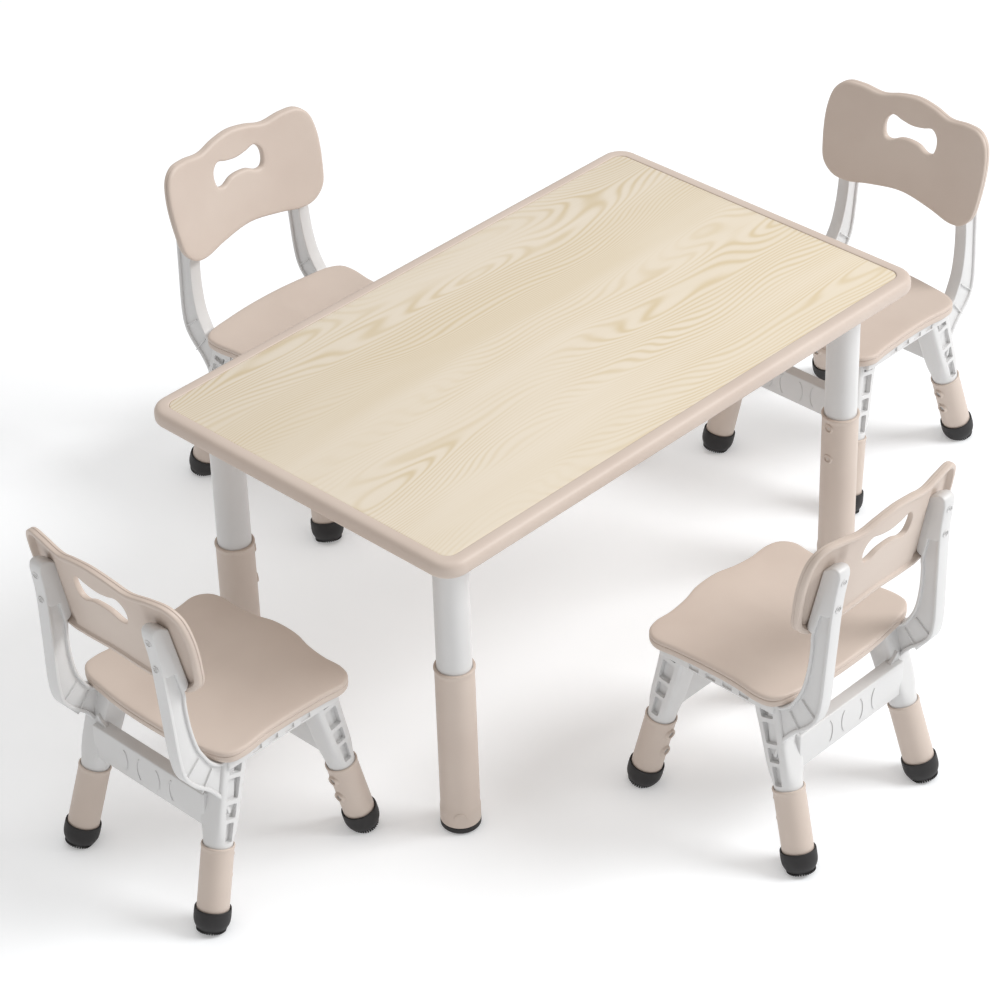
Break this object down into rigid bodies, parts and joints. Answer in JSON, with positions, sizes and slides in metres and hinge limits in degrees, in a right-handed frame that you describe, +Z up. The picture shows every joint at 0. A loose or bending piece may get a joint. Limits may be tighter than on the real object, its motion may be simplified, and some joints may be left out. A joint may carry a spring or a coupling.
{
  "type": "kids table and chairs",
  "caption": "Child's rectangular activity table on telescopic legs, with matching moulded chairs whose splayed telescopic legs set the seat height.",
  "frame": {"origin": "on the floor, at the middle of the footprint of the table and its chairs together", "axes": "+X along the table's long side, +Y along its short side, +Z up"},
  "size_m": [1.7218, 1.4368, 0.562],
  "materials": {
    "beige_plastic": "satin moulded",
    "white_plastic": "satin moulded",
    "wood_laminate": "pale wood-grain laminate, satin",
    "black_rubber": "matt"
  },
  "bodies": {
    "table_lower_legs": {"table_leg_sleeve_front_left": "beige_plastic", "table_leg_sleeve_front_right": "beige_plastic", "table_leg_sleeve_back_left": "beige_plastic", "table_leg_sleeve_back_right": "beige_plastic", "table_leg_foot_front_left": "black_rubber", "table_leg_foot_front_right": "black_rubber", "table_leg_foot_back_left": "black_rubber", "table_leg_foot_back_right": "black_rubber"},
    "table_upper": {"table_top_shell": "beige_plastic", "table_top_panel": "wood_laminate", "table_leg_tube_front_left": "white_plastic", "table_leg_tube_front_right": "white_plastic", "table_leg_tube_back_left": "white_plastic", "table_leg_tube_back_right": "white_plastic"},
    "chair_left_leg_rear_right": {"chair_left_sleeve_rear_right": "beige_plastic", "chair_left_boot_rear_right": "black_rubber"},
    "chair_left_body": {"chair_left_seat": "beige_plastic", "chair_left_backrest": "beige_plastic", "chair_left_frame": "white_plastic"},
    "chair_left_leg_rear_left": {"chair_left_sleeve_rear_left": "beige_plastic", "chair_left_boot_rear_left": "black_rubber"},
    "chair_left_leg_front_left": {"chair_left_sleeve_front_left": "beige_plastic", "chair_left_boot_front_left": "black_rubber"},
    "chair_left_leg_front_right": {"chair_left_sleeve_front_right": "beige_plastic", "chair_left_boot_front_right": "black_rubber"},
    "chair_front_leg_rear_right": {"chair_front_sleeve_rear_right": "beige_plastic", "chair_front_boot_rear_right": "black_rubber"},
    "chair_front_body": {"chair_front_seat": "beige_plastic", "chair_front_backrest": "beige_plastic", "chair_front_frame": "white_plastic"},
    "chair_front_leg_rear_left": {"chair_front_sleeve_rear_left": "beige_plastic", "chair_front_boot_rear_left": "black_rubber"},
    "chair_front_leg_front_left": {"chair_front_sleeve_front_left": "beige_plastic", "chair_front_boot_front_left": "black_rubber"},
    "chair_front_leg_front_right": {"chair_front_sleeve_front_right": "beige_plastic", "chair_front_boot_front_right": "black_rubber"},
    "chair_back_leg_rear_right": {"chair_back_sleeve_rear_right": "beige_plastic", "chair_back_boot_rear_right": "black_rubber"},
    "chair_back_body": {"chair_back_seat": "beige_plastic", "chair_back_backrest": "beige_plastic", "chair_back_frame": "white_plastic"},
    "chair_back_leg_rear_left": {"chair_back_sleeve_rear_left": "beige_plastic", "chair_back_boot_rear_left": "black_rubber"},
    "chair_back_leg_front_left": {"chair_back_sleeve_front_left": "beige_plastic", "chair_back_boot_front_left": "black_rubber"},
    "chair_back_leg_front_right": {"chair_back_sleeve_front_right": "beige_plastic", "chair_back_boot_front_right": "black_rubber"},
    "chair_right_leg_rear_right": {"chair_right_sleeve_rear_right": "beige_plastic", "chair_right_boot_rear_right": "black_rubber"},
    "chair_right_body": {"chair_right_seat": "beige_plastic", "chair_right_backrest": "beige_plastic", "chair_right_frame": "white_plastic"},
    "chair_right_leg_rear_left": {"chair_right_sleeve_rear_left": "beige_plastic", "chair_right_boot_rear_left": "black_rubber"},
    "chair_right_leg_front_left": {"chair_right_sleeve_front_left": "beige_plastic", "chair_right_boot_front_left": "black_rubber"},
    "chair_right_leg_front_right": {"chair_right_sleeve_front_right": "beige_plastic", "chair_right_boot_front_right": "black_rubber"}
  },
  "joints": [
    {"name": "table_height", "type": "slide", "parent": "table_lower_legs", "child": "table_upper", "axis": [0, 0, 1], "range_m": [-0.08, 0.05]},
    {"name": "chair_left_push_in", "type": "slide", "parent": "table_lower_legs", "child": "chair_left_leg_rear_right", "axis": [1, 0, 0], "range_m": [-0.15, 0.2]},
    {"name": "chair_left_height", "type": "slide", "parent": "chair_left_leg_rear_right", "child": "chair_left_body", "axis": [0.2687, 0.0844, 0.9595], "range_m": [0, 0.05]},
    {"name": "chair_left_leg_rear_left_slide", "type": "slide", "parent": "chair_left_body", "child": "chair_left_leg_rear_left", "axis": [-0.2687, 0.0844, -0.9595], "range_m": [0, 0.0505]},
    {"name": "chair_left_leg_front_left_slide", "type": "slide", "parent": "chair_left_body", "child": "chair_left_leg_front_left", "axis": [0.1997, 0.1071, -0.974], "range_m": [0, 0.04976]},
    {"name": "chair_left_leg_front_right_slide", "type": "slide", "parent": "chair_left_body", "child": "chair_left_leg_front_right", "axis": [0.1997, -0.1071, -0.974], "range_m": [0, 0.04976]},
    {"name": "chair_front_push_in", "type": "slide", "parent": "table_lower_legs", "child": "chair_front_leg_rear_right", "axis": [0, 1, 0], "range_m": [-0.15, 0.25]},
    {"name": "chair_front_height", "type": "slide", "parent": "chair_front_leg_rear_right", "child": "chair_front_body", "axis": [-0.0844, 0.2687, 0.9595], "range_m": [0, 0.05]},
    {"name": "chair_front_leg_rear_left_slide", "type": "slide", "parent": "chair_front_body", "child": "chair_front_leg_rear_left", "axis": [-0.0844, -0.2687, -0.9595], "range_m": [0, 0.0505]},
    {"name": "chair_front_leg_front_left_slide", "type": "slide", "parent": "chair_front_body", "child": "chair_front_leg_front_left", "axis": [-0.1071, 0.1997, -0.974], "range_m": [0, 0.04976]},
    {"name": "chair_front_leg_front_right_slide", "type": "slide", "parent": "chair_front_body", "child": "chair_front_leg_front_right", "axis": [0.1071, 0.1997, -0.974], "range_m": [0, 0.04976]},
    {"name": "chair_back_push_in", "type": "slide", "parent": "table_lower_legs", "child": "chair_back_leg_rear_right", "axis": [0, -1, 0], "range_m": [-0.15, 0.27]},
    {"name": "chair_back_height", "type": "slide", "parent": "chair_back_leg_rear_right", "child": "chair_back_body", "axis": [0.0844, -0.2687, 0.9595], "range_m": [0, 0.05]},
    {"name": "chair_back_leg_rear_left_slide", "type": "slide", "parent": "chair_back_body", "child": "chair_back_leg_rear_left", "axis": [0.0844, 0.2687, -0.9595], "range_m": [0, 0.0505]},
    {"name": "chair_back_leg_front_left_slide", "type": "slide", "parent": "chair_back_body", "child": "chair_back_leg_front_left", "axis": [0.1071, -0.1997, -0.974], "range_m": [0, 0.04976]},
    {"name": "chair_back_leg_front_right_slide", "type": "slide", "parent": "chair_back_body", "child": "chair_back_leg_front_right", "axis": [-0.1071, -0.1997, -0.974], "range_m": [0, 0.04976]},
    {"name": "chair_right_push_in", "type": "slide", "parent": "table_lower_legs", "child": "chair_right_leg_rear_right", "axis": [-1, 0, 0], "range_m": [-0.15, 0.19]},
    {"name": "chair_right_height", "type": "slide", "parent": "chair_right_leg_rear_right", "child": "chair_right_body", "axis": [-0.2687, -0.0844, 0.9595], "range_m": [0, 0.05]},
    {"name": "chair_right_leg_rear_left_slide", "type": "slide", "parent": "chair_right_body", "child": "chair_right_leg_rear_left", "axis": [0.2687, -0.0844, -0.9595], "range_m": [0, 0.0505]},
    {"name": "chair_right_leg_front_left_slide", "type": "slide", "parent": "chair_right_body", "child": "chair_right_leg_front_left", "axis": [-0.1997, -0.1071, -0.974], "range_m": [0, 0.04976]},
    {"name": "chair_right_leg_front_right_slide", "type": "slide", "parent": "chair_right_body", "child": "chair_right_leg_front_right", "axis": [-0.1997, 0.1071, -0.974], "range_m": [0, 0.04976]}
  ],
  "couplings": [
    {"joint": "chair_left_leg_rear_left_slide", "follows": "chair_left_height", "ratio": 1},
    {"joint": "chair_left_leg_front_left_slide", "follows": "chair_left_height", "ratio": 0.98515},
    {"joint": "chair_left_leg_front_right_slide", "follows": "chair_left_height", "ratio": 0.98515},
    {"joint": "chair_front_leg_rear_left_slide", "follows": "chair_front_height", "ratio": 1},
    {"joint": "chair_front_leg_front_left_slide", "follows": "chair_front_height", "ratio": 0.98515},
    {"joint": "chair_front_leg_front_right_slide", "follows": "chair_front_height", "ratio": 0.98515},
    {"joint": "chair_back_leg_rear_left_slide", "follows": "chair_back_height", "ratio": 1},
    {"joint": "chair_back_leg_front_left_slide", "follows": "chair_back_height", "ratio": 0.98515},
    {"joint": "chair_back_leg_front_right_slide", "follows": "chair_back_height", "ratio": 0.98515},
    {"joint": "chair_right_leg_rear_left_slide", "follows": "chair_right_height", "ratio": 1},
    {"joint": "chair_right_leg_front_left_slide", "follows": "chair_right_height", "ratio": 0.98515},
    {"joint": "chair_right_leg_front_right_slide", "follows": "chair_right_height", "ratio": 0.98515}
  ]
}
